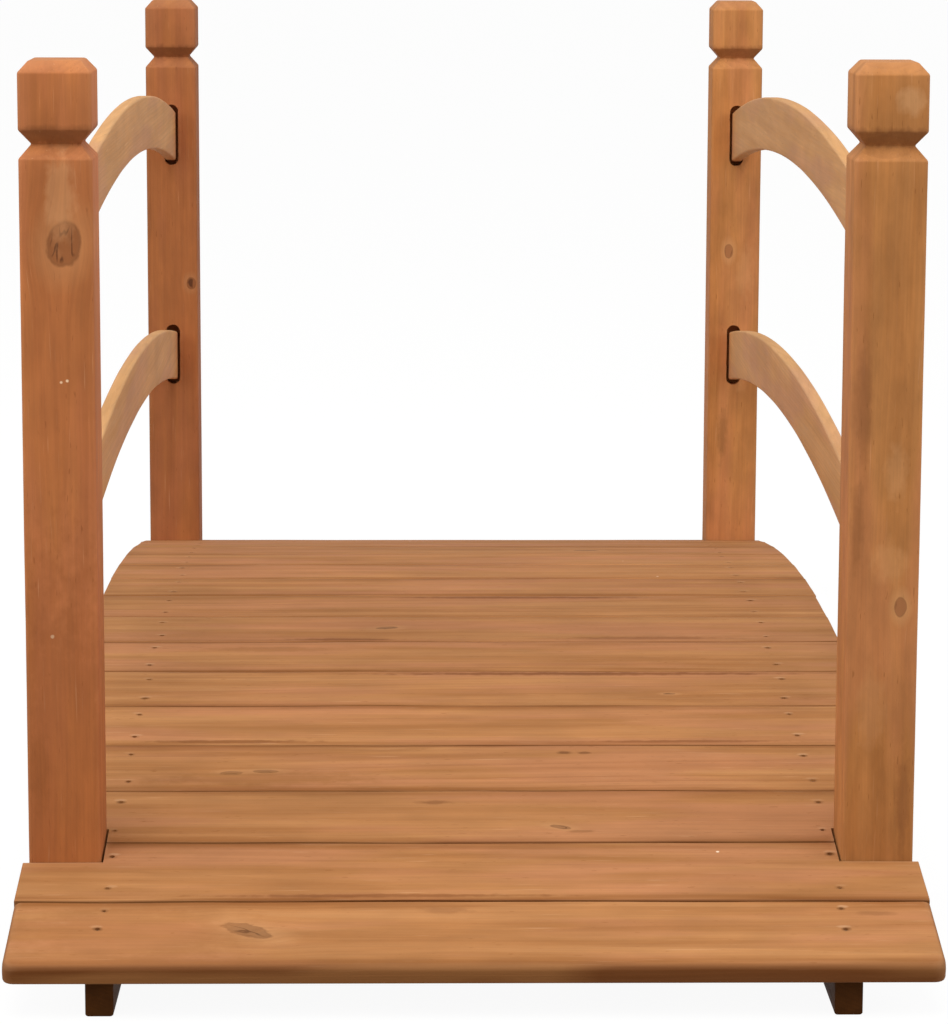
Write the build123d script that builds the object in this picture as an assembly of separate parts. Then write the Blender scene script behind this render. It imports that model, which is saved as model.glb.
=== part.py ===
from build123d import *
from math import asin, cos, degrees, sin
import os

# A small arched garden bridge of stained fir: two bowed side beams, a deck of straight cross
# boards, four square posts and two bowed hand rails on each side.
# X runs across the walkway, Y along it and Z up from the floor the bridge stands on.
# All sizes are in millimetres.

# The whole bridge
bridge_length = 1400.0     # from one deck end to the other, measured level
deck_width = 600.0         # length of a full deck board
post_top = 600.0           # floor to the top of a post
deck_crown = 120.0         # floor to the walking surface at mid span
deck_radius = 3000.0       # bow of the walking surface

# Deck boards
board_count = 17
board_thickness = 14.0
board_gap = 1.6            # open joint between two boards, at their undersides
board_arris = 1.5          # eased long top edges
nosing_radius = 3.5        # rounder outer edge of the two end boards
corner_radius = 7.0        # rounded outer corners of the two end boards
seat_gap = 0.2             # a flat board over the bow of a beam

# Side beams
beam_thickness = 18.0
beam_depth = 60.0          # measured square to the bow
beam_setback = 12.0        # deck end to beam end

# Posts
post_size = 48.0           # square
post_inset = 157.5         # deck end to the middle of a post
post_setback = 4.0         # ends of the full deck boards to the outer faces of the posts
post_arris = 2.0           # rounded upright corners
notch_side_gap = 1.5       # board end to the inner face of a post
notch_end_gap = 0.6        # board edge to the front and rear faces of a post
cap_height = 45.0          # block above the groove
cap_chamfer_height = 8.0
cap_chamfer_width = 7.0
groove_height = 19.0
groove_depth = 8.0

# Hand rails
rail_thickness = 10.0
rail_depth = 46.0          # measured square to the bow
rail_radius = 3300.0       # bow of a rail's top edge
rail_arris = 1.8           # chamfer along a rail's four edges
upper_rail_crown = 535.0   # floor to the top of the upper rail at mid span
lower_rail_crown = 322.0

# Mortises for the rail ends, routed with half-round tops and bottoms
mortise_depth = 15.0
rail_inner_gap = 2.6       # rail to the side of its mortise, towards the walkway
rail_outer_gap = 0.7       # rail to the other side, where it is pushed to
rail_top_gap = 6.5         # rail to the top of its mortise, at the face of the post
rail_seat_gap = 0.3        # lower edge of a rail end to the half-round bottom it rests on
rail_end_gap = 0.3         # rail end to the end of its mortise

# Places that follow from the sizes above
half_length = bridge_length / 2
board_seat_radius = deck_radius - board_thickness
end_tilt = asin(half_length / deck_radius)
nosing_lean = (board_thickness - nosing_radius) * sin(end_tilt) + nosing_radius * (1 - cos(end_tilt))
deck_half_angle = asin((half_length + board_gap / 2 - nosing_lean) / board_seat_radius)
board_angle = 2 * deck_half_angle / board_count
board_width = board_angle * board_seat_radius - board_gap
deck_centre_z = deck_crown - deck_radius
post_x = deck_width / 2 - post_setback - post_size / 2
post_inner_x = post_x - post_size / 2
post_y = half_length - post_inset
post_face_y = post_y - post_size / 2
mortise_width = rail_inner_gap + rail_thickness + rail_outer_gap
rail_x = post_x + (rail_inner_gap - rail_outer_gap) / 2
rail_half_span = post_face_y + mortise_depth - rail_end_gap

sides = (("left", -1), ("right", 1))
ends = (("front", -1), ("rear", 1))


def bowed_plank(top_radius, depth, crown_z, half_span, thickness):
    """An upright plank sawn to two concentric arcs, cut off upright at its ends and level at z 0."""
    bow = Circle(top_radius) - Circle(top_radius - depth)
    saw_cut = Rectangle(2 * half_span, crown_z)
    outline = Pos(0, crown_z - top_radius) * bow & Pos(0, crown_z / 2) * saw_cut
    return extrude(Plane.YZ * outline, amount=thickness / 2, both=True)


def side_beam(side):
    """A bowed beam that carries the board ends and stands on two level-sawn feet."""
    top_radius = board_seat_radius - seat_gap
    beam_crown = deck_crown - board_thickness - seat_gap
    half_span = half_length - beam_setback
    plank = bowed_plank(top_radius, beam_depth, beam_crown, half_span, beam_thickness)
    return Pos(side * (post_inner_x - beam_thickness / 2), 0, 0) * plank


def square_turned(profile):
    """Sweeps a half profile round a square: the outline shows alike from the front and the side."""
    mirrored = [(-x, z) for x, z in reversed(profile)]
    outline = make_face(Polyline(*profile, *mirrored, close=True))
    across = extrude(Plane.XZ * outline, amount=post_size, both=True)
    along = extrude(Plane.YZ * outline, amount=post_size, both=True)
    return across & along


def rail_edge_z(crown_z, y, depth=0):
    """Height of a rail's top edge at a distance y from mid span, or of a line that deep below it."""
    return crown_z - rail_radius + ((rail_radius - depth) ** 2 - y ** 2) ** 0.5


def rail_lift():
    """How high a rail end lies over the lowest point of its mortise, seated on the half round."""
    radius = mortise_width / 2
    nearer_side = radius - min(rail_inner_gap, rail_outer_gap)
    seat_drop = ((radius - rail_seat_gap) ** 2 - nearer_side ** 2) ** 0.5
    return radius - seat_drop - rail_arris


def mortise(crown_z, end):
    """The slot for a rail end, in the face of a post that looks to mid span."""
    top = rail_edge_z(crown_z, post_face_y) + rail_top_gap
    bottom = rail_edge_z(crown_z, rail_half_span, rail_depth) - rail_lift()
    slot = SlotOverall(top - bottom, mortise_width, rotation=90)
    opening = extrude(Plane.XZ * slot, amount=mortise_depth, both=True)
    return Pos(0, -end * post_size / 2, (top + bottom) / 2) * opening


def post(side, end):
    """A square post with a chamfered cap above a V groove and two mortises for the rails."""
    half = post_size / 2
    groove_top = post_top - cap_height
    profile = [
        (half, 0),
        (half, groove_top - groove_height),
        (half - groove_depth, groove_top - groove_height / 2),
        (half, groove_top),
        (half, post_top - cap_chamfer_height),
        (half - cap_chamfer_width, post_top),
    ]
    rounded_bar = extrude(RectangleRounded(post_size, post_size, post_arris), amount=post_top)
    shaft = square_turned(profile) & rounded_bar
    for crown_z in (upper_rail_crown, lower_rail_crown):
        shaft -= mortise(crown_z, end)
    return Pos(side * post_x, end * post_y, 0) * shaft


def post_notches():
    """Upright blocks, open at the board ends, that clear the four posts out of the deck."""
    inner = post_inner_x - notch_side_gap
    width = deck_width / 2 - inner + board_thickness
    length = post_size + 2 * notch_end_gap
    blocks = []
    for _, side in sides:
        for _, end in ends:
            block = Box(width, length, post_top)
            blocks.append(Pos(side * (inner + width / 2), end * post_y, post_top / 2) * block)
    return blocks


def plain_board():
    """A straight board with its long top edges eased."""
    board = Box(deck_width, board_width, board_thickness)
    top_edges = board.faces().sort_by(Axis.Z)[-1].edges()
    return fillet(top_edges.filter_by(Axis.X), board_arris)


def nosed_board():
    """The rear board: rounded outer corners, with a nosing that runs round them and both ends."""
    board = Box(deck_width, board_width, board_thickness)
    outer_corners = board.edges().filter_by(Axis.Z).group_by(Axis.Y)[-1]
    board = fillet(outer_corners, corner_radius)
    top_edges = board.faces().sort_by(Axis.Z)[-1].edges().sort_by(Axis.Y)
    board = fillet(top_edges[1:], nosing_radius)
    inner_edge = board.faces().sort_by(Axis.Z)[-1].edges().sort_by(Axis.Y)[0]
    return fillet(inner_edge, board_arris)


def deck_board(number):
    """A board laid level across the bridge and tangent to the bow."""
    if number == 1:
        board = Rot(0, 0, 180) * nosed_board()
    elif number == board_count:
        board = nosed_board()
    else:
        board = plain_board()
    angle = board_angle * (number - (board_count + 1) / 2)
    middle = deck_radius - board_thickness / 2
    place = Pos(0, middle * sin(angle), deck_centre_z + middle * cos(angle))
    return place * Rot(-degrees(angle), 0, 0) * board


def hand_rail(side, crown_z):
    """A bowed rail with chamfered edges, sawn upright where it enters the mortises of its posts."""
    rail = bowed_plank(rail_radius, rail_depth, crown_z, rail_half_span, rail_thickness)
    long_edges = rail.edges().filter_by(GeomType.CIRCLE)
    return Pos(side * rail_x, 0, 0) * chamfer(long_edges, rail_arris)


parts = {}
for side_name, side in sides:
    parts[f"beam_{side_name}"] = side_beam(side)
    for end_name, end in ends:
        parts[f"post_{end_name}_{side_name}"] = post(side, end)
    parts[f"rail_upper_{side_name}"] = hand_rail(side, upper_rail_crown)
    parts[f"rail_lower_{side_name}"] = hand_rail(side, lower_rail_crown)

notches = post_notches()
for number in range(1, board_count + 1):
    board = deck_board(number)
    for notch in notches:
        board -= notch
    parts[f"deck_board_{number:02d}"] = board

os.makedirs("parts", exist_ok=True)
for name, shape in parts.items():
    export_step(shape, f"parts/{name}.step")
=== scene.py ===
import bmesh
import bpy
import random
from math import cos, pi, radians, sin, sqrt, tan
from mathutils import Matrix, Vector, noise


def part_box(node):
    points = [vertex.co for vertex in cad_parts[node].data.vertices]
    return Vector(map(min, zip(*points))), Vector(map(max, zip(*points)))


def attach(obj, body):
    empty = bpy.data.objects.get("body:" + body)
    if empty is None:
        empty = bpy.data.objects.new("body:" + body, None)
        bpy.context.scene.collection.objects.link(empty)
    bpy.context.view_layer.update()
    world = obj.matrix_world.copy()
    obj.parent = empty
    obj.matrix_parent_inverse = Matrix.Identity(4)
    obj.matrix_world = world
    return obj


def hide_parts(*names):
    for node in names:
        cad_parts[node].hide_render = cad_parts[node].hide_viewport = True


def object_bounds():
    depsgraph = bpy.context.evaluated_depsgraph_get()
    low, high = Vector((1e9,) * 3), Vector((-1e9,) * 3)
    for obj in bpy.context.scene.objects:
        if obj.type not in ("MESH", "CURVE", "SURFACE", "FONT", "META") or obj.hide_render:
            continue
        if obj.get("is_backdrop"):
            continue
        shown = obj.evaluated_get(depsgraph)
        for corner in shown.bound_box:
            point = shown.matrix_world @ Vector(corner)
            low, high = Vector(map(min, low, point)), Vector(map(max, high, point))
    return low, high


# Small bowed garden bridge of stained fir. Each packed timber is replaced by a finished one
# with eased, slightly uneven edges, and the boards get their nails.
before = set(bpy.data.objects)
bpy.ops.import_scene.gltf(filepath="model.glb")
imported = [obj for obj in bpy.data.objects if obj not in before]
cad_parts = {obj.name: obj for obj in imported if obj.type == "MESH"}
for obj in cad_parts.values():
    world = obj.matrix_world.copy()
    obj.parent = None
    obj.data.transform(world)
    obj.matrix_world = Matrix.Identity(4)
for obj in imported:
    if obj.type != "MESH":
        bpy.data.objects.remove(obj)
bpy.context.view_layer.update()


def mm(length):
    return length / 1000


def inMm(length):
    return 1000 * length


def linear(hexColour):
    # sRGB hex to the linear colour that a shader takes
    parts = [int(hexColour[i:i + 2], 16) / 255 for i in (1, 3, 5)]
    return [p / 12.92 if p <= 0.04045 else ((p + 0.055) / 1.055) ** 2.4 for p in parts] + [1.0]


def addNode(tree, kind, settings=None, links=None):
    # adds a node; a link is another node (its first output), an output or a plain value
    node = tree.nodes.new(kind)
    for key, value in (settings or {}).items():
        setattr(node, key, value)
    for key, value in (links or {}).items():
        if isinstance(value, bpy.types.Node):
            value = value.outputs[0]
        if isinstance(value, bpy.types.NodeSocket):
            tree.links.new(value, node.inputs[key])
        else:
            node.inputs[key].default_value = value
    return node


def calc(tree, operation, *values):
    return addNode(tree, "ShaderNodeMath", {"operation": operation}, dict(enumerate(values)))


def vectorCalc(tree, operation, *values):
    # lengths and dot products come out as a value, all else as a vector
    node = addNode(tree, "ShaderNodeVectorMath", {"operation": operation}, dict(enumerate(values)))
    return node.outputs["Value" if operation in ("LENGTH", "DOT_PRODUCT") else "Vector"]


def newMaterial(name):
    material = bpy.data.materials.new(name)
    material.use_nodes = True
    material.node_tree.nodes.clear()
    return material, material.node_tree


# Stained fir: planed softwood under one coat of translucent brown stain. It is satin, the
# growth rings show as faint bands, and the stain sits darker in knots, end grain and sawn sides.
# Faces that turn from the light above also get painted shade, and eased edges a painted highlight.
fir = {
    "ior": 1.5,
    "roughness": (0.64, 0.8),    # from the soft fibres to the hard ones
    "seedShift": (1.37, 0.61, 0.23),   # metres that each seed moves the patterns
    # pattern: size along and across the grain in mm, and detail
    "patterns": {
        "wander": (280, 55, 1.5),    # slow drift of the rings
        "streak": (300, 15, 3.0),    # soft light and dark streaks
        "line": (150, 2.2, 2.0),     # thin faint lines
        "cloud": (34, 15, 3.0),      # mottled figure
        "blush": (230, 36, 2.0),     # zones where the wood is pinker
        "fibre": (38, 1.1, 3.0),     # wood fibres, drawn twice as coarse so that they show
        "blotch": (120, 60, 2.0),    # uneven uptake of the stain
        "dash": (40, 1.5, 1.0),      # short pale scratches
        "mark": (10, 1.6, 1.0),      # small dark ticks
        "ragged": (9, 6, 2.0),       # uneven outline of knots and stains
        "crack": (26, 8, 1.0),       # cracks in a knot
    },
    "patternRoughness": 0.55,
    "middle": 0.5,               # middle value of a pattern
    "most": (0.3, 0.7),          # most values of a pattern lie between these
    # feature: the values where it starts and where it is full, and its share at each
    "shows": {
        "streak": (0.34, 0.66, 0, 1),
        "blush": (0.46, 0.6, 0, 0.7),
        "mark": (0.71, 0.78, 0, 0.55),
        "dash": (0.7, 0.8, 0, 0.4),
        "halo": (2.8, 1.5, 0, 0.6),      # knots and spots go by distance, 1 near their rim
        "knot": (1.5, 1.15, 0, 0.6),
        "heart": (1.25, 0.95, 0, 1),
        "rim": (0.14, 0.02, 0, 0.3),
        "crack": (0.03, 0.01, 0, 0.75),
        "side": (0.9, 0.4, 0, 0.85),     # by how far a face looks up; the darker sides are partly stain, partly painted shade
        "sideDark": (0.44, 0.56, 0, 1),
        "end": (0.5, 0.95, 0, 0.5),      # by how far a face looks along the timber
        "wornAndHighlight": (0.52, 0.58, 0, 0.3),    # by how sharp an edge is; partly wear, partly painted highlight
    },
    "spotShows": (1.75, 1.15),
    "spotRagged": 1.2,
    "rimAt": 1.3,                # distance of a knot's dark rim
    "wanderReach": 4.0,          # mm that the rings drift sideways
    "knotSpread": 0.75,          # how far the grain opens round a knot
    "knotFade": 0.22,            # and how soon it closes again
    "leanAcross": 0.4,           # share of the pith's lean that goes across the face
    "ringNoise": 90.0,           # uneven years, by the metre
    "ringUneven": 1.6,
    # the colour within one year, from pale early wood to dark late wood
    "yearStops": ((0.45, 0.12), (0.86, 1.0), (0.93, 0.9), (1.0, 0.0)),
    "faintRings": 0.4,           # share of the contrast where the rings are faintest
    "edgeDarkWidth": 11.0,            # mm from a board's long edges over which the top is drawn darker
    "edgeDarkShows": (0.4, 0.58),
    "edgeDarkLeast": 0.15,
    "fibreShade": (0.96, 1.03),
    "lineShade": 0.045,
    "blotchShade": 0.08,
    "bumpHeight": 0.2,           # mm
    "bumpStrength": 0.5,
    "latewoodRise": 0.35,        # how far the late wood stands out, against the fibres
}
plainLook = {"side": None, "halfWide": None, "knots": [], "spots": []}


def stainedFir(name, look):
    look = {**plainLook, **look}
    wood, tree = newMaterial(name)
    grain = addNode(tree, "ShaderNodeAttribute", {"attribute_name": "grain"}).outputs["Vector"]
    shift = Vector([look["seed"] * part for part in fir["seedShift"]])

    def pattern(what, source):
        along, across, detail = fir["patterns"][what]
        moved = vectorCalc(tree, "ADD", source, shift)
        sized = vectorCalc(tree, "DIVIDE", moved, (mm(along), mm(across), mm(across)))
        return addNode(tree, "ShaderNodeTexNoise", {},
                       {"Vector": sized, "Scale": 1.0, "Detail": detail,
                        "Roughness": fir["patternRoughness"]})

    def farFrom(along, across, long, wide, turn=0):
        # distance from an oval spot on the face, 1 at its rim; the oval is turned by some degrees
        offset = vectorCalc(tree, "SUBTRACT", grain, (mm(along), mm(across), 0))
        if turn:
            offset = addNode(tree, "ShaderNodeVectorRotate", {"rotation_type": "Z_AXIS"},
                             {"Vector": offset, "Angle": radians(-turn)})
        inRadii = vectorCalc(tree, "MULTIPLY", offset, (2 / mm(long), 2 / mm(wide), 0))
        return offset, vectorCalc(tree, "LENGTH", inRadii)

    def scaled(vector, factor):
        return addNode(tree, "ShaderNodeVectorMath", {"operation": "SCALE"},
                       {0: vector, "Scale": factor}).outputs[0]

    def mixed(colour, share, tint):
        # the colour so far, with a share of a tint over it
        over = linear(tint) if isinstance(tint, str) else tint
        return addNode(tree, "ShaderNodeMix", {"data_type": "RGBA"},
                       {"Factor": share, 6: colour, 7: over}).outputs[2]

    def ranged(value, low, high, least, most):
        return addNode(tree, "ShaderNodeMapRange", {},
                       {"Value": value, "From Min": low, "From Max": high,
                        "To Min": least, "To Max": most})

    def shown(what, value):
        return ranged(value, *fir["shows"][what])

    # the grain drifts, and opens round each knot
    reach = 2 * mm(fir["wanderReach"])
    wander = pattern("wander", grain).outputs["Color"]
    bent = vectorCalc(tree, "MULTIPLY_ADD", wander, (0, reach, reach), grain)
    knotEdges = []
    for along, across, long, wide, turn in look["knots"]:
        offset, away = farFrom(along, across, long, wide, turn)
        fade = calc(tree, "MULTIPLY", calc(tree, "MULTIPLY", away, away), -fir["knotFade"])
        fade = calc(tree, "EXPONENT", fade)
        spread = vectorCalc(tree, "MULTIPLY", offset, (0, -fir["knotSpread"], 0))
        bent = vectorCalc(tree, "ADD", bent, scaled(spread, fade))
        knotEdges.append((offset, away))

    # growth rings round a pith that leans a little to the timber
    pithAcross, pithThrough, lean = look["pith"]
    fromPith = vectorCalc(tree, "SUBTRACT", bent, (0, mm(pithAcross), mm(pithThrough)))
    pithLine = Vector((1, lean * fir["leanAcross"], lean)).normalized()
    radius = vectorCalc(tree, "LENGTH", vectorCalc(tree, "CROSS_PRODUCT", fromPith, pithLine))
    uneven = addNode(tree, "ShaderNodeTexNoise", {"noise_dimensions": "1D"},
                     {"W": radius, "Scale": fir["ringNoise"], "Detail": 1.0})
    age = calc(tree, "DIVIDE", radius, mm(look["ring"]))
    age = calc(tree, "MULTIPLY_ADD", uneven, fir["ringUneven"], age)
    latewood = addNode(tree, "ShaderNodeValToRGB", {}, {"Fac": calc(tree, "FRACT", age)})
    stops = latewood.color_ramp.elements
    stops.remove(stops[1])
    for position, level in fir["yearStops"]:
        stops.new(position).color = (level, level, level, 1)

    streak = pattern("streak", bent)
    line = pattern("line", bent)
    cloud = pattern("cloud", bent)
    fibre = pattern("fibre", bent)
    blush = pattern("blush", grain)
    blotch = pattern("blotch", grain)
    mark = pattern("mark", grain)
    dash = pattern("dash", bent)

    # colour of the face: streaks, pinker zones, rings, darker long edges, dark ticks, pale
    # scratches
    colour = mixed(linear(look["light"]), shown("streak", streak), look["dark"])
    colour = mixed(colour, shown("blush", blush), look["blush"])
    contrast = look["contrast"]
    ringShare = ranged(blotch, *fir["most"], contrast * fir["faintRings"], contrast)
    colour = mixed(colour, calc(tree, "MULTIPLY", ringShare, latewood), look["latewood"])
    if look["halfWide"]:
        parts = addNode(tree, "ShaderNodeSeparateXYZ", {}, {"Vector": grain})
        across = calc(tree, "ABSOLUTE", parts.outputs["Y"])
        nearEdge = ranged(across, look["halfWide"] - mm(fir["edgeDarkWidth"]), look["halfWide"], 0, 1)
        edgeDark = ranged(streak, *fir["edgeDarkShows"], fir["edgeDarkLeast"], look["edgeDark"])
        colour = mixed(colour, calc(tree, "MULTIPLY", nearEdge, edgeDark), look["latewood"])
    colour = mixed(colour, shown("mark", mark), look["latewood"])
    colour = mixed(colour, shown("dash", dash), look["wornAndHighlight"])

    # each knot has a paler halo, a brown heart with a darker rim, and cracks along it
    if look["knots"] or look["spots"]:
        ragged = pattern("ragged", grain)
    for offset, away in knotEdges:
        edge = calc(tree, "MULTIPLY_ADD", ragged, look["ragged"], away)
        crack = calc(tree, "SUBTRACT", pattern("crack", offset), fir["middle"])
        crack = shown("crack", calc(tree, "ABSOLUTE", crack))
        cracked = calc(tree, "MULTIPLY", shown("heart", edge), crack)
        rim = calc(tree, "ABSOLUTE", calc(tree, "SUBTRACT", edge, fir["rimAt"]))
        colour = mixed(colour, shown("halo", edge), look["halo"])
        colour = mixed(colour, shown("knot", edge), look["knot"])
        colour = mixed(colour, shown("rim", rim), look["crack"])
        colour = mixed(colour, cracked, look["crack"])

    # stains and pale flecks at known places
    for along, across, long, wide, tint, most in look["spots"]:
        away = farFrom(along, across, long, wide)[1]
        edge = calc(tree, "MULTIPLY_ADD", ragged, fir["spotRagged"], away)
        colour = mixed(colour, ranged(edge, *fir["spotShows"], 0, most), tint)

    # light and dark by fibre, line, cloud and blotch
    softest, hardest = fir["fibreShade"]
    shade = ranged(fibre, *fir["most"], look["tone"] * softest, look["tone"] * hardest)
    for part, swing in ((line, fir["lineShade"]), (cloud, look["mottle"]),
                        (blotch, fir["blotchShade"])):
        change = ranged(part, *fir["most"], 1 - swing, 1 + swing)
        shade = calc(tree, "MULTIPLY", shade, change)
    colour = scaled(colour, shade)

    # sawn sides in uneven brown, partly stain and partly painted shade where a face turns from the
    # light above; darker end grain; and paler edges, partly wear and partly painted highlight
    shape = addNode(tree, "ShaderNodeNewGeometry")
    if look["side"]:
        upright = vectorCalc(tree, "DOT_PRODUCT", shape.outputs["Normal"], (0, 0, 1))
        sideStainAndShade = mixed(linear(look["side"]), shown("sideDark", blush), look["sideDark"])
        colour = mixed(colour, shown("side", upright), sideStainAndShade)
    facing = vectorCalc(tree, "DOT_PRODUCT", shape.outputs["Normal"], look["axis"])
    colour = mixed(colour, shown("end", calc(tree, "ABSOLUTE", facing)), look["end"])
    # paler eased edges: partly wear, partly a painted highlight where the edges catch the light
    colour = mixed(colour, shown("wornAndHighlight", shape.outputs["Pointiness"]), look["wornAndHighlight"])

    # surface: fibres and harder latewood stand a little proud, and the dry stain shines weakly
    height = calc(tree, "MULTIPLY_ADD", latewood, fir["latewoodRise"], fibre)
    bump = addNode(tree, "ShaderNodeBump", {},
                   {"Height": height, "Strength": fir["bumpStrength"],
                    "Distance": mm(fir["bumpHeight"])})
    gloss = ranged(fibre, *fir["most"], *fir["roughness"])
    surface = addNode(tree, "ShaderNodeBsdfPrincipled", {},
                      {"Base Color": colour, "Roughness": gloss, "Normal": bump,
                       "IOR": fir["ior"], "Specular IOR Level": look["shine"]})
    addNode(tree, "ShaderNodeOutputMaterial", {}, {"Surface": surface})
    return wood


def easedOutline(corners, radii, spans, steps=4):
    # a closed outline with rounded corners; spans are the extra points on each straight side
    points = []
    for i, corner in enumerate(corners):
        here, after = Vector(corner), Vector(corners[(i + 1) % len(corners)])
        back = (Vector(corners[i - 1]) - here).normalized()
        onward = (after - here).normalized()
        halfAngle = back.angle(onward) / 2
        centre = here + (back + onward).normalized() * radii[i] / sin(halfAngle)
        start = here + back * radii[i] / tan(halfAngle) - centre
        end = here + onward * radii[i] / tan(halfAngle) - centre
        points += [centre + start.lerp(end, k / steps).normalized() * start.length
                   for k in range(steps + 1)]
        last = points[-1]
        target = after - onward * radii[(i + 1) % len(corners)]
        points += [last.lerp(target, (k + 1) / (spans[i] + 1)) for k in range(spans[i])]
    return points


def skinLoops(shell, loops):
    # joins closed loops of vertices one after the other; the ends stay open
    count = len(loops[0])
    for low, high in zip(loops, loops[1:]):
        for i in range(count):
            j = (i + 1) % count
            shell.faces.new((low[i], low[j], high[j], high[i]))


def shellPiece(name, shell):
    bmesh.ops.recalc_face_normals(shell, faces=shell.faces)
    mesh = bpy.data.meshes.new(name)
    shell.to_mesh(mesh)
    shell.free()
    piece = bpy.data.objects.new(name, mesh)
    bpy.context.scene.collection.objects.link(piece)
    return piece


def loftRings(name, rings):
    # skins closed rings of points one after the other and closes both ends
    shell = bmesh.new()
    loops = [[shell.verts.new(point) for point in ring] for ring in rings]
    skinLoops(shell, loops)
    shell.faces.new(loops[0])
    shell.faces.new(loops[-1])
    return shellPiece(name, shell)


def toWorld(point, middle, axes):
    return middle + sum((axis * mm(p) for axis, p in zip(axes, point)), Vector())


def turned(name, profile, spots, segments=14):
    # turns one profile round each spot; a spot is a place, its axes and a scale
    shell = bmesh.new()
    for centre, axes, scale in spots:
        loops = []
        for radius, height in profile:
            reach = radius * scale
            loops.append([shell.verts.new(toWorld(
                (reach * cos(2 * pi * k / segments), reach * sin(2 * pi * k / segments), height),
                centre, axes)) for k in range(segments)])
        skinLoops(shell, loops)
        shell.faces.new(reversed(loops[0]))
        shell.faces.new(loops[-1])
    return shellPiece(name, shell)


def cutWith(piece, cutters):
    # takes the cutters out of the piece and drops them
    for cutter in cutters:
        cut = piece.modifiers.new("cut", "BOOLEAN")
        cut.operation, cut.solver, cut.object = "DIFFERENCE", "EXACT", cutter
    ready = piece.evaluated_get(bpy.context.evaluated_depsgraph_get())
    mesh = bpy.data.meshes.new_from_object(ready)
    piece.modifiers.clear()
    piece.data = mesh
    for cutter in cutters:
        bpy.data.objects.remove(cutter)


smoothAngle = 38   # degrees; an edge that turns more stays sharp


def finishTimber(piece, node, origin, axes, material):
    # writes the grain coordinates, shades the eased edges smooth and sets the piece on its node
    mesh = piece.data
    grain = mesh.attributes.new("grain", "FLOAT_VECTOR", "POINT")
    for vertex in mesh.vertices:
        offset = vertex.co - origin
        grain.data[vertex.index].vector = [offset.dot(axis) for axis in axes]
    mesh.shade_smooth()
    mesh.set_sharp_from_angle(angle=radians(smoothAngle))
    mesh.materials.clear()
    mesh.materials.append(material)
    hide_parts(node)
    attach(piece, "root")


def nodesOf(kind):
    return sorted(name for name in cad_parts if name.startswith(kind))


def firName(node):
    return f"stained fir, {node.replace('_', ' ')}"


def drawPith(dice, reaches):
    # across the timber, through it, and the lean
    return [dice.uniform(*reach) for reach in reaches]


def stations(half, reach, step, steps=5):
    # places along a timber, closer together where its ends are rounded
    ends = [half - reach * (1 - sin(k * pi / 2 / steps)) for k in range(steps + 1)]
    count = round(2 * ends[0] / step)
    middle = [-ends[0] + 2 * ends[0] * k / count for k in range(1, count)]
    return [-place for place in reversed(ends)] + middle + ends


def roundOff(distance, radius):
    # what a rounded end takes off, at a distance from the very end
    return radius - sqrt(radius ** 2 - max(0.0, radius - distance) ** 2)


noiseRow = 7.3      # rows of the noise from one seed to the next
noiseDepth = 0.37


def waver(place, seed, length, amount):
    # a smooth uneven offset along a timber, the same in every run
    return amount * noise.noise(Vector((place / length, seed * noiseRow, noiseDepth)))


xAxis, yAxis, zAxis = Vector((1, 0, 0)), Vector((0, 1, 0)), Vector((0, 0, 1))

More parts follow.
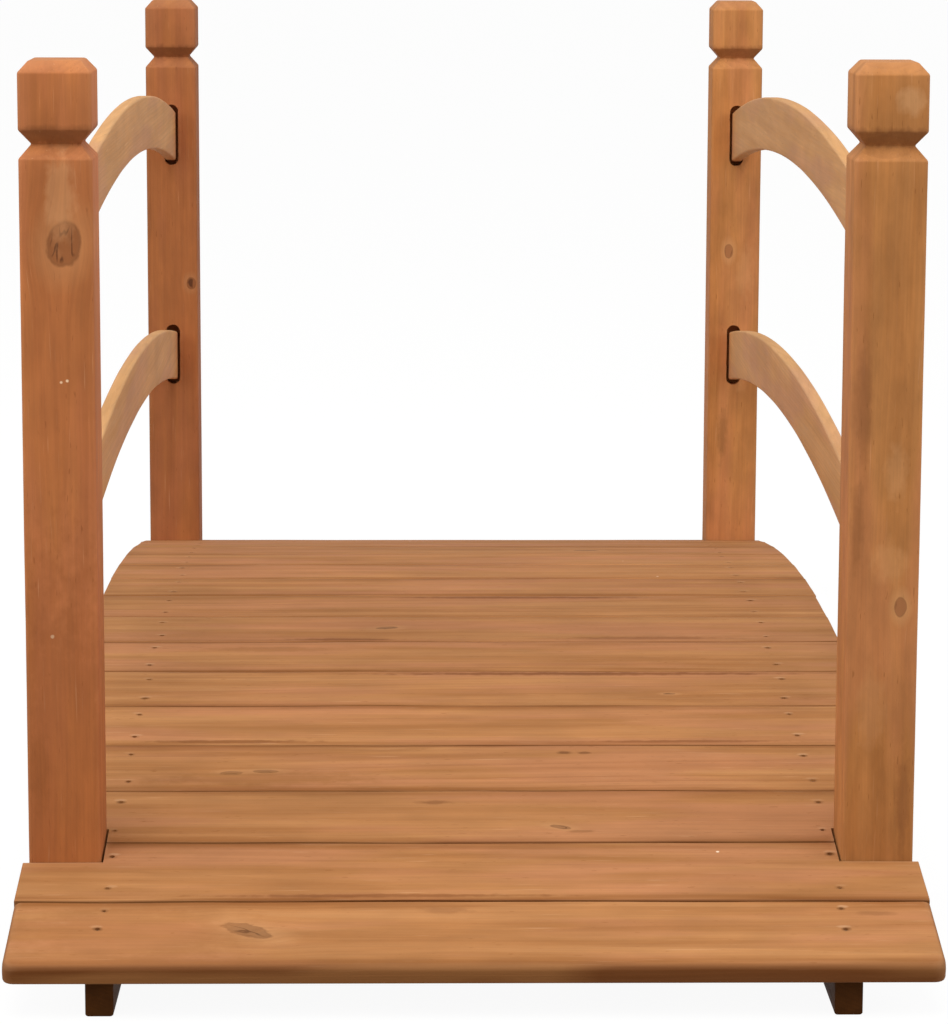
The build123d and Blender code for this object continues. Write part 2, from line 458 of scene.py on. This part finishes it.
# Deck boards, 14 mm planed fir laid across, eased along the top. Sizes in mm; what is uneven
# is given as the length of its waves and how far they go.
boards = {
    "step": 4.0,                     # from one ring of points to the next
    "sidePoints": (1, 7, 1, 3),      # extra points on the edges, the top and the underside
    "arris": 1.3,                    # rounding of the long top edges
    "arrisUneven": (85, 1.3),
    "arrisLeast": 0.5,
    "underArris": 0.6,
    "jointOffset": 0.4,              # how far a whole joint lies off
    "drift": (170, 0.5),             # sideways wander of a joint
    "closing": (-0.1, 0.4),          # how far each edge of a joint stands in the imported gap
    "closingUneven": (75, 0.25),
    "closingRough": (24, 0.15),
    "closingMost": 0.65,
    "ripple": 0.25,                  # planing ripple of the top
    "rippleSize": (90, 30),
    "rippleLevel": 0.4,
    "endUneven": 0.7,                # ends sawn a little long or short
    "endReach": (-1, 0.4),
    "endEase": 0.8,
    "endUnder": 0.5,
    "nosing": 4.6,                   # outer edges and ends of the two end boards
    "nosingUneven": (90, 1.2),
    "nosingUnder": 1.8,
    "corner": 7.5,                   # and their corners, seen from above
    "notchSide": 1.5,                # board to post, across
    "notchEnd": 0.6,                 # board to post, along
    "notchNear": 2.0,                # a post closer than this gets a notch
    "cutterOut": 20.0,               # how far a cutter stands out beside and below a board
    "cutterTop": 300.0,
    "look": {"mottle": 0.045, "ragged": 0.8, "shine": 0.12},
    "contrast": (0.12, 0.32), "ring": (3, 6), "tone": (0.95, 1.04), "edgeDark": (0.45, 1.0),
    "pith": ((-60, 60), (-25, -90), (-0.03, 0.03)),
    "tints": {
        "light": "#B88150", "dark": "#A66F40", "blush": "#B87C54", "latewood": "#885226",
        "knot": "#7E5636", "crack": "#55331C", "halo": "#BC8758", "end": "#8E5E38",
        # side: the sawn sides' stain, with painted shade where a face turns from the light above;
        # the pale edge tint: wear, with a painted highlight
        "wornAndHighlight": "#CFA077", "side": "#99653A", "sideDark": "#74421E",
    },
    "tones": {7: 0.92, 8: 0.93, 9: 0.96},   # boards that took up more stain
    # number: knots as place along, place across, length, width, turn in degrees
    "knots": {
        1: [(-146, 4, 34, 15, -26)],
        3: [(62, -18, 15, 6, -20)],
        4: [(-168, -10, 16, 7, 0), (-144, -7, 17, 6, 0)],
        6: [(154, -14, 9, 4, 0)],
        8: [(-60, 4, 18, 8, 10)],
        13: [(120, 0, 22, 12, -10)],
    },
    # number: stains and flecks as along, across, length, width, tint, share
    "spots": {
        1: [(-18, 29, 40, 9, "#8F5E38", 0.5), (262, 24, 26, 7, "#8F5E38", 0.5),
            (-225, 0, 170, 110, "#9E6638", 0.45)],
        2: [(166, 27, 2.2, 2.2, "#F6E2C8", 0.9), (-60, -35, 240, 5, "#74401C", 0.55)],
        3: [(76, -25, 22, 5, "#8A5A34", 0.6), (-24, 22, 26, 7, "#7E4E2C", 0.6)],
        4: [(69, 27, 12, 6, "#6A3E20", 0.7), (84, 27, 10, 5, "#6A3E20", 0.6),
            (-150, -20, 170, 26, "#93602F", 0.5)],
        5: [(-170, -34, 120, 7, "#74401C", 0.6), (160, -34, 150, 6, "#74401C", 0.5)],
        6: [(90, 35, 330, 8, "#74401C", 0.7)],
        7: [(-150, 20, 120, 14, "#93602F", 0.45)],
        8: [(-100, -34, 90, 7, "#74401C", 0.6), (150, -30, 140, 8, "#7E4A24", 0.5)],
        9: [(40, 33, 220, 9, "#74401C", 0.6)],
        11: [(173, -30, 2.5, 2.5, "#F2DCC0", 0.8)],
        12: [(149, -13, 2.5, 2.5, "#F2DCC0", 0.7)],
    },
}
nails = {
    "across": 241.5,                 # middle of the bridge to a nail
    "rows": (-0.28, 0.28),           # share of the board's width, from its middle
    "frontRows": (0.06, 0.37),
    "rearRows": (-0.37, -0.06),
    "jitter": 2.0,
    "sizes": (0.75, 1.15),
    "hole": 1.8, "head": 1.1,        # radii
    "depth": 1.4,                    # from the board's top down to the head's rim
    # profiles as share of the radius, and height over that rim
    "holeProfile": ((0.55, 0), (0.8, 0.7), (1.1, 1.9)),
    "headProfile": ((0.5, -1), (0.8, 0), (0.75, 0.3), (0.4, 0.45)),
    "stain": {"long": 6.5, "wide": 5.5, "tint": "#66401F", "share": (0.25, 0.7)},
    # pale fleck beside each nail: crushed fibres of the burr, with a painted highlight on it
    "burrAndGlint": {"aside": 2, "away": 3.2, "long": 9, "wide": 4, "tint": "#D0A27A",
             "share": (0.1, 0.5)},
    "steel": "#4A3524",
}


def boardFrame(node):
    # middle, axes and half sizes of a board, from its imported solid
    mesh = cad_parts[node].data
    up = max(mesh.polygons, key=lambda face: face.area).normal.copy()
    up = up if up.z > 0 else -up
    axes = (xAxis, up.cross(xAxis), up)
    spans = [[vertex.co.dot(axis) for vertex in mesh.vertices] for axis in axes]
    middle = sum((axis * (min(s) + max(s)) / 2 for axis, s in zip(axes, spans)), Vector())
    return middle, axes, [(max(s) - min(s)) / 2 for s in spans]


def jointEdge(joint, side, place):
    # how far a board edge lies off its straight line: both edges of a joint drift together,
    # and the joint opens and closes; side is 1 for the board before it, -1 for the one after
    dice = random.Random(joint * 31)
    drift = (dice.uniform(-boards["jointOffset"], boards["jointOffset"])
             + waver(place, joint, *boards["drift"]))
    closing = dice.uniform(*boards["closing"])
    closing += (waver(place, joint + 50, *boards["closingUneven"])
                + waver(place, joint + 90, *boards["closingRough"]))
    return drift + side * min(closing, boards["closingMost"])


def boardRings(number, count, half):
    halfLong, halfWide, halfThick = (inMm(size) for size in half)
    outer = {1: -1, count: 1}.get(number, 0)   # which long edge is a nosing
    dice = random.Random(number * 17)
    sawnOff = {side: 0 if outer else dice.uniform(*boards["endReach"]) * boards["endUneven"]
               for side in (-1, 1)}
    endReach = boards["corner"] if outer else boards["endEase"]
    endRadius = boards["nosing"] if outer else boards["endEase"]
    endUnder = boards["nosingUnder"] if outer else boards["endUnder"]
    rings = []
    for place in stations(halfLong, endReach, boards["step"]):
        distance = halfLong - abs(place)
        arris, edges = [], []
        for side in (-1, 1):
            if outer == side:
                arris.append(boards["nosing"] + waver(place, number, *boards["nosingUneven"]))
                edges.append(side * (halfWide - roundOff(distance, boards["corner"])))
            else:
                uneven = waver(place, number * 2 + side, *boards["arrisUneven"])
                arris.append(max(boards["arrisLeast"], boards["arris"] + uneven))
                joint = number if side == 1 else number - 1
                edges.append(side * halfWide + jointEdge(joint, side, place))
        top = halfThick - roundOff(distance, endRadius)
        under = -halfThick + roundOff(distance, endUnder)
        corners = [(edges[0], under), (edges[0], top), (edges[1], top), (edges[1], under)]
        underRadii = [boards["nosingUnder" if outer == side else "underArris"]
                      for side in (-1, 1)]
        radii = [underRadii[0], arris[0], arris[1], underRadii[1]]
        along = place + sawnOff[1 if place > 0 else -1] * abs(place) / halfLong
        rippleLong, rippleWide = boards["rippleSize"]
        ring = []
        for across, through in easedOutline(corners, radii, boards["sidePoints"]):
            lift = (through + halfThick) / (2 * halfThick)
            ripple = noise.noise(Vector((place / rippleLong, across / rippleWide, number * 3.1)))
            through += lift * boards["ripple"] * (ripple - boards["rippleLevel"])
            ring.append((along, across, through))
        rings.append(ring)
    return rings


def notchCutters(middle, half):
    # blocks for the posts that stand in a board's way
    cutters = []
    margin, out = mm(boards["notchNear"]), half[0] + mm(boards["cutterOut"])
    for postName in postNames:
        low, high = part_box(postName)
        if low.y - margin < middle.y + half[1] and high.y + margin > middle.y - half[1]:
            side = 1 if low.x > 0 else -1
            inner = min(abs(low.x), abs(high.x)) - mm(boards["notchSide"])
            near, far = low.y - mm(boards["notchEnd"]), high.y + mm(boards["notchEnd"])
            outline = [(side * inner, near), (side * inner, far), (side * out, far),
                       (side * out, near)]
            levels = (-mm(boards["cutterOut"]), mm(boards["cutterTop"]))
            cutters.append(loftRings("notchCutter",
                                     [[(x, y, z) for x, y in outline] for z in levels]))
    return cutters


def nailPlaces(halfWide, rows, dice):
    # four nails to a board, two over each beam; each with a size of its own
    jitter = nails["jitter"]
    return [(side * nails["across"] + dice.uniform(-1, 1) * jitter,
             row * 2000 * halfWide + dice.uniform(-1, 1) * jitter,
             dice.uniform(*nails["sizes"]))
            for side in (-1, 1) for row in rows]


def nailProfile(what):
    # radius and height over the board's top
    return [(nails[what] * share, rise - nails["depth"])
            for share, rise in nails[what + "Profile"]]


boardNames, postNames = nodesOf("deck_board"), nodesOf("post")
stain, burrAndGlint = nails["stain"], nails["burrAndGlint"]
nailSpots = {-1: [], 1: []}
for number, node in enumerate(boardNames, 1):
    dice = random.Random(number * 13)
    middle, axes, half = boardFrame(node)
    rings = [[toWorld(point, middle, axes) for point in ring]
             for ring in boardRings(number, len(boardNames), half)]
    board = loftRings(node.replace("deck", "fir"), rings)
    cutters = notchCutters(middle, half)
    spots, stains = [], list(boards["spots"].get(number, []))
    rows = {1: "frontRows", len(boardNames): "rearRows"}.get(number, "rows")
    for along, across, size in nailPlaces(half[1], nails[rows], dice):
        spot = (toWorld((along, across, inMm(half[2])), middle, axes), axes, size)
        spots.append(spot)
        nailSpots[1 if along > 0 else -1].append(spot)
        # a pale burr with a painted highlight, then the dark stain round the nail
        stains.append((along + dice.uniform(-burrAndGlint["aside"], burrAndGlint["aside"]),
                       across + burrAndGlint["away"] * size, burrAndGlint["long"] * size, burrAndGlint["wide"],
                       burrAndGlint["tint"], dice.uniform(*burrAndGlint["share"])))
        stains.append((along, across, stain["long"] * size, stain["wide"] * size,
                       stain["tint"], dice.uniform(*stain["share"])))
    cutters.append(turned("nailCutter", nailProfile("hole"), spots))
    cutWith(board, cutters)
    look = dict(boards["tints"], **boards["look"], seed=number, axis=xAxis,
                contrast=dice.uniform(*boards["contrast"]), ring=dice.uniform(*boards["ring"]),
                tone=dice.uniform(*boards["tone"]) * boards["tones"].get(number, 1.0),
                edgeDark=dice.uniform(*boards["edgeDark"]), halfWide=half[1],
                knots=boards["knots"].get(number, []), spots=stains,
                pith=drawPith(dice, boards["pith"]))
    finishTimber(board, node, middle, axes,
                 stainedFir(f"stained fir, board {number}", look))
print("deck boards laid:", len(boardNames))

# Nails: round steel heads driven under the surface, dull with stain
steel, tree = newMaterial("dull steel nail")
surface = addNode(tree, "ShaderNodeBsdfPrincipled", {},
                  {"Base Color": linear(nails["steel"]), "Metallic": 0.6, "Roughness": 0.55})
addNode(tree, "ShaderNodeOutputMaterial", {}, {"Surface": surface})
for side, name in ((-1, "nails_left"), (1, "nails_right")):
    heads = turned(name, nailProfile("head"), nailSpots[side])
    heads.data.materials.append(steel)
    heads.data.shade_smooth()
    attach(heads, "root")
print("nails driven:", len(nailSpots[-1]) + len(nailSpots[1]))

# Hand rails, 10 by 46 mm, sawn to a bow from straight plank
rails = {
    "bow": 3300.0, "depth": 46.0, "arris": 1.8, "arrisUneven": (70, 0.5), "endEase": 0.5,
    "look": {"contrast": 0.25, "tone": 1.0, "mottle": 0.03, "shine": 0.25},
    "ring": (3, 5), "pith": ((-80, 80), (30, 60), (-0.02, 0.02)),
    "tints": {
        "light": "#D39F6A", "dark": "#C8935C", "blush": "#C8926A", "latewood": "#AE7C4C",
        # the pale edge tint: wear, and a painted highlight on the eased edges
        "end": "#B07C50", "wornAndHighlight": "#E2BD94",
    },
}
bowed = {
    "step": 9.0,                     # from one ring of points to the next
    "sidePoints": (4, 1, 4, 1),      # extra points on the sides, the top and the underside
    "cornerSteps": 3,
    "edgeSeed": 0.7,                 # each of the four edges wavers by itself
    "floorNear": 1.0,                # a timber that comes this low stands on the floor
}


def bowedRings(box, timber, seed):
    # upright rings of a timber between two arcs; nothing goes below the floor
    low, high = [[inMm(v) for v in corner] for corner in box]
    middle, half = (low[1] + high[1]) / 2, (high[1] - low[1]) / 2
    bow, depth = timber["bow"], timber["depth"]
    rings = []
    for place in stations(half, timber["endEase"], bowed["step"]):
        inset = roundOff(half - abs(place), timber["endEase"])
        top = high[2] - bow + sqrt(bow ** 2 - place ** 2) - inset
        bottom = high[2] - bow + sqrt((bow - depth) ** 2 - place ** 2) + inset
        if low[2] < bowed["floorNear"]:
            bottom = max(bottom, low[2])
        radii = [timber["arris"] + waver(place, seed + k * bowed["edgeSeed"],
                                         *timber["arrisUneven"]) for k in range(4)]
        left, right = low[0] + inset, high[0] - inset
        corners = [(left, bottom), (left, top), (right, top), (right, bottom)]
        outline = easedOutline(corners, radii, bowed["sidePoints"], bowed["cornerSteps"])
        rings.append([(mm(x), mm(middle + place), mm(z)) for x, z in outline])
    return rings


railNames = nodesOf("rail")
for seed, node in enumerate(railNames, 30):
    dice = random.Random(seed)
    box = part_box(node)
    rail = loftRings(node.replace("rail", "hand_rail"), bowedRings(box, rails, seed))
    look = dict(rails["tints"], **rails["look"], seed=seed, axis=yAxis,
                ring=dice.uniform(*rails["ring"]), pith=drawPith(dice, rails["pith"]))
    finishTimber(rail, node, (box[0] + box[1]) / 2, (yAxis, zAxis, xAxis),
                 stainedFir(firName(node), look))
print("hand rails bent:", len(railNames))

# Side beams, 18 by 60 mm, with level-sawn feet; the stain is darkest here
beams = {
    "bow": 2985.8, "depth": 60.0, "arris": 1.2, "arrisUneven": (70, 0.5), "endEase": 1.0,
    "look": {"contrast": 0.4, "ring": 3.0, "tone": 1.0, "mottle": 0.1, "shine": 0.08,
             "pith": (40, 50, 0.02)},
    "tints": {
        "light": "#5E3616", "dark": "#46260E", "blush": "#52300F", "latewood": "#351C0A",
        "end": "#4E2C10", "wornAndHighlight": "#74491F",
    },
}
beamNames = nodesOf("beam")
for seed, node in enumerate(beamNames, 40):
    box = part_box(node)
    beam = loftRings(node.replace("beam", "side_beam"), bowedRings(box, beams, seed))
    look = dict(beams["tints"], **beams["look"], seed=seed, axis=yAxis)
    finishTimber(beam, node, (box[0] + box[1]) / 2, (yAxis, zAxis, xAxis),
                 stainedFir(firName(node), look))
print("side beams set:", len(beamNames))

# Posts, 48 mm square, with a chamfered cap over a V groove; heights from the post's top
posts = {
    "arris": 2.2, "arrisUneven": (80, 0.9), "chips": (14, 0.6), "sidePoints": (3, 3, 3, 3),
    "grooveArris": 0.7,              # what is left of the arris in the groove and on the chamfer
    "arrisFade": 1.5,                # half width over which it changes
    "capHeight": 45.0, "capChamferHeight": 8.0, "capChamferWidth": 7.0,
    "grooveHeight": 19.0, "grooveDepth": 8.0,
    "edgeEase": 0.9,                 # easing of the edges round the cap and the groove
    "edgeCut": 0.25,
    "topEase": ((0.6, -0.7), (-0.6, -0.1), (-1.6, 0)),   # off the sharp top edge
    "footEase": 0.8,
    "shaftRings": 60, "shaftEnd": 12,
    # mortises with half-round ends; gaps to the rail on each side, above, below and behind
    "mortiseDepth": 15.0, "gapInner": 2.6, "gapOuter": 0.7, "gapTop": 6.5, "gapBelow": 2.6,
    "mortiseRagged": (4, 0.35), "mortiseFlat": 0.3, "mortisePoints": (12, 0, 12, 0),
    "mortiseSteps": 5, "cutterOut": 10,
    "look": {"contrast": 0.22, "ragged": 0.45, "shine": 0.25},
    "ring": (4, 7), "pith": ((-30, 30), (30, 60), (-0.04, 0.04)),
    "tints": {
        "left": {
            "light": "#BF7641", "dark": "#A86437", "blush": "#B46C42", "latewood": "#8A4C26",
            "knot": "#7C421E", "crack": "#4E2812", "halo": "#BE8050", "end": "#B07A50",
            "wornAndHighlight": "#CF976C"},
        "right": {
            "light": "#C0824A", "dark": "#AE713B", "blush": "#B9774A", "latewood": "#8E562A",
            "knot": "#8C5230", "crack": "#4E2812", "halo": "#C8905C", "end": "#B07A50",
            "wornAndHighlight": "#CF976C"},
    },
    "mottle": {"left": 0.08, "right": 0.12},
    "tones": {"post_front_left": 1.15, "post_front_right": 1.07,
              "post_rear_left": 0.85, "post_rear_right": 1.1},
    # knots as height above the middle, place across, height, width, turn in degrees
    "knots": {
        "post_front_left": [(181, 5, 27, 19, 8)],
        "post_front_right": [(-60, 12, 12, 7, 0)],
        "post_rear_left": [(28, 18, 10, 8, 0)],
        "post_rear_right": [(60, -6, 12, 7, 0)],
    },
    # stains, flecks and darker zones as height above the middle, place across, height, width,
    # tint, share
    "grooveShade": (251, 0, 13, 600, "#74401E", 0.55),   # painted shade: the V grooves drawn darker, as they lie in shade
    "spots": {
        "post_front_left": [(212, 3, 62, 20, "#C98F60", 0.55), (91, 6, 2.2, 2.2, "#F0CFA8", 0.9),
                            (90, 2, 2, 2, "#F0CFA8", 0.8), (-80, -6, 2.2, 2.2, "#F0CFA8", 0.8),
                            (-170, -16, 60, 14, "#8C5228", 0.5),
                            # a broad zone that makes the lower half of the post darker towards its
                            # foot
                            (-180, 0, 330, 120, "#8E5026", 0.45)],
        "post_front_right": [(275, 12, 20, 18, "#D09A68", 0.6), (30, 7, 40, 15, "#C68C58", 0.6),
                             (-30, 4, 30, 24, "#C68C58", 0.5), (-130, -6, 60, 20, "#BC8252", 0.5),
                             (75, -15, 90, 12, "#8E5830", 0.4), (-8, -18, 60, 10, "#8E5830", 0.4),
                             (-190, 16, 70, 10, "#8E5830", 0.5)],
        "post_rear_left": [],
        "post_rear_right": [(40, 10, 50, 18, "#C48A58", 0.5), (150, 4, 26, 16, "#8A5A30", 0.5),
                            (-60, 6, 34, 18, "#CC935C", 0.5), (-120, -10, 50, 10, "#8A5A30", 0.5)],
    },
}


def postProfile(height, half):
    # half width by height, foot to top, each corner of the outline eased
    capBottom = height - posts["capHeight"]
    grooveBottom = capBottom - posts["grooveHeight"]
    topHalf = half - posts["capChamferWidth"]
    foot, count = posts["footEase"], posts["shaftRings"]
    path = [(half, foot), (half, grooveBottom),
            (half - posts["grooveDepth"], capBottom - posts["grooveHeight"] / 2),
            (half, capBottom), (half, height - posts["capChamferHeight"]), (topHalf, height)]
    points = [(half - foot, 0.0), (half, foot)]
    points += [(half, foot + (grooveBottom - posts["shaftEnd"]) * (k + 1) / count)
               for k in range(count)]
    for before, here, after in zip(path, path[1:], path[2:]):
        here = Vector(here)
        back = (Vector(before) - here).normalized() * posts["edgeEase"]
        onward = (Vector(after) - here).normalized() * posts["edgeEase"]
        points += [tuple(here + back), tuple(here + (back + onward) * posts["edgeCut"]),
                   tuple(here + onward)]
    return points + [(topHalf + wider, height + higher) for wider, higher in posts["topEase"]]


def mortiseOutline(railBox, inner, side):
    # the slot round a rail end: half-round ends, and a rim that the router left ragged
    railLow, railHigh = railBox
    crown, bow, outer = inMm(railHigh.z), rails["bow"], inMm(railHigh.y)
    top = crown - bow + sqrt(bow ** 2 - inner ** 2) + posts["gapTop"]
    bottom = crown - bow + sqrt((bow - rails["depth"]) ** 2 - outer ** 2) - posts["gapBelow"]
    leftGap, rightGap = posts["gapInner"], posts["gapOuter"]
    if side < 0:
        leftGap, rightGap = rightGap, leftGap
    left, right = inMm(railLow.x) - leftGap, inMm(railHigh.x) + rightGap
    radius = (right - left) / 2 - posts["mortiseFlat"]
    corners = [(left, bottom), (left, top), (right, top), (right, bottom)]
    outline = easedOutline(corners, [radius] * 4, posts["mortisePoints"], posts["mortiseSteps"])
    return [(x + waver(z, side * 3 + x, *posts["mortiseRagged"]),
             z + waver(x, side * 5 + z, *posts["mortiseRagged"])) for x, z in outline]


for seed, node in enumerate(postNames, 50):
    dice = random.Random(seed)
    low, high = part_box(node)
    centre = (low + high) / 2
    half, height = inMm(high.x - low.x) / 2, inMm(high.z - low.z)
    least = posts["grooveArris"]
    rings = []
    for halfHere, level in postProfile(height, half):
        inFull = max(0.0, 1 - (half - halfHere) / posts["arrisFade"])
        wear = [waver(level, seed + k, *posts["arrisUneven"])
                + abs(waver(level, seed + k + 9, *posts["chips"])) for k in range(4)]
        radii = [least + inFull * (posts["arris"] - least + wear[k]) for k in range(4)]
        corners = [(-halfHere, -halfHere), (halfHere, -halfHere), (halfHere, halfHere),
                   (-halfHere, halfHere)]
        rings.append([(centre.x + mm(x), centre.y + mm(y), low.z + mm(level))
                      for x, y in easedOutline(corners, radii, posts["sidePoints"])])
    post = loftRings(node.replace("post", "square_post"), rings)
    end = 1 if centre.y > 0 else -1
    side = 1 if centre.x > 0 else -1
    sideName = node.split("_")[-1]
    inner = inMm(abs(centre.y)) - half
    cutters = []
    for railName in railNames:
        if railName.endswith(sideName):
            outline = mortiseOutline(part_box(railName), inner, side)
            cutters.append(loftRings("mortiseCutter", [
                [(mm(x), mm(end * depth), mm(z)) for x, z in outline]
                for depth in (inner - posts["cutterOut"], inner + posts["mortiseDepth"])]))
    cutWith(post, cutters)
    look = dict(posts["tints"][sideName], **posts["look"], seed=seed, axis=zAxis,
                ring=dice.uniform(*posts["ring"]), tone=posts["tones"][node],
                mottle=posts["mottle"][sideName], knots=posts["knots"][node],
                # the post's stains and flecks, and the painted shade of its groove
                spots=posts["spots"][node] + [posts["grooveShade"]],
                pith=drawPith(dice, posts["pith"]))
    finishTimber(post, node, centre, (zAxis, xAxis, yAxis),
                 stainedFir(firName(node), look))
print("posts turned:", len(postNames))

# Floor: matt pale board that keeps the bridge's soft shadow; it looks white to the camera and
# throws only part of the light back up
studio = {"floorSize": 40.0, "floorColour": "#F7F7F5", "bounceColour": "#9A958C",
          "cameraShare": 0.92, "cameraGlow": 1.02, "skyStrength": 0.55}
bpy.ops.mesh.primitive_plane_add(size=studio["floorSize"], location=(0, 0, 0))
floor = bpy.context.active_object
floor.name = "floor"
floorPaint, tree = newMaterial("matt pale floor")
rays = addNode(tree, "ShaderNodeLightPath")
seen = calc(tree, "MAXIMUM", rays.outputs["Is Camera Ray"], rays.outputs["Is Glossy Ray"])
seen = calc(tree, "MAXIMUM", seen, rays.outputs["Is Transmission Ray"])
paintColour = addNode(tree, "ShaderNodeMix", {"data_type": "RGBA"},
                      {"Factor": seen, 6: linear(studio["bounceColour"]),
                       7: linear(studio["floorColour"])})
paint = addNode(tree, "ShaderNodeBsdfDiffuse", {}, {"Color": paintColour.outputs[2]})
glow = addNode(tree, "ShaderNodeEmission", {},
               {"Color": (1, 1, 1, 1), "Strength": studio["cameraGlow"]})
share = calc(tree, "MULTIPLY", seen, studio["cameraShare"])
blend = addNode(tree, "ShaderNodeMixShader", {}, {0: share, 1: paint, 2: glow})
addNode(tree, "ShaderNodeOutputMaterial", {}, {"Surface": blend})
floor.data.materials.append(floorPaint)
floor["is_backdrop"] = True

# Sky: white to the camera, softer as a light
world = bpy.data.worlds.new("studio sky")
bpy.context.scene.world = world
world.use_nodes = True
tree = world.node_tree
tree.nodes.clear()
rays = addNode(tree, "ShaderNodeLightPath")
seen = calc(tree, "MAXIMUM", rays.outputs["Is Camera Ray"], rays.outputs["Is Transmission Ray"])
level = addNode(tree, "ShaderNodeMapRange", {},
                {"Value": seen, "To Min": studio["skyStrength"], "To Max": 1.0})
sky = addNode(tree, "ShaderNodeBackground", {}, {"Color": (1, 1, 1, 1), "Strength": level})
addNode(tree, "ShaderNodeOutputWorld", {}, {"Surface": sky})

# Lamps: a broad softbox nearly overhead, and a weaker one on each side
lamps = {
    "key": {"place": (-0.3, -1.3, 3.2), "aim": (0, 0, 0.2), "size": 2.6, "power": 70},
    "left": {"place": (-2.6, -1.2, 1.6), "aim": (0, 0, 0.3), "size": 1.8, "power": 24},
    "right": {"place": (2.6, -1.2, 1.6), "aim": (0, 0, 0.3), "size": 1.8, "power": 24},
}
for name, lamp in lamps.items():
    data = bpy.data.lights.new(name, "AREA")
    data.energy, data.size = lamp["power"], lamp["size"]
    light = bpy.data.objects.new(name, data)
    light.location = lamp["place"]
    aim = Vector(lamp["aim"]) - light.location
    light.rotation_euler = aim.to_track_quat("-Z", "Y").to_euler()
    bpy.context.scene.collection.objects.link(light)
print("lamps placed:", len(lamps))

# Camera: as the photo, just above the posts' tops and nearly on the bridge's middle line;
# its place and lens in mm, its turns in degrees
camera = {"place": (-40.1, -2814.4, 719.8), "down": 8.45, "turn": 1.03, "roll": 0.2,
          "lens": 121.8, "sensor": 36, "shiftY": -0.12, "clip": (0.05, 100)}
lens = bpy.data.cameras.new("camera")
lens.lens, lens.sensor_width, lens.shift_y = camera["lens"], camera["sensor"], camera["shiftY"]
lens.clip_start, lens.clip_end = camera["clip"]
viewer = bpy.data.objects.new("camera", lens)
turn = (Matrix.Rotation(-radians(camera["turn"]), 4, "Z")
        @ Matrix.Rotation(radians(90 - camera["down"]), 4, "X")
        @ Matrix.Rotation(radians(camera["roll"]), 4, "Z"))
viewer.matrix_world = Matrix.Translation([mm(v) for v in camera["place"]]) @ turn
bpy.context.scene.collection.objects.link(viewer)
bpy.context.scene.camera = viewer
bpy.context.scene.view_settings.view_transform = "Standard"
print("camera set")

low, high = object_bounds()
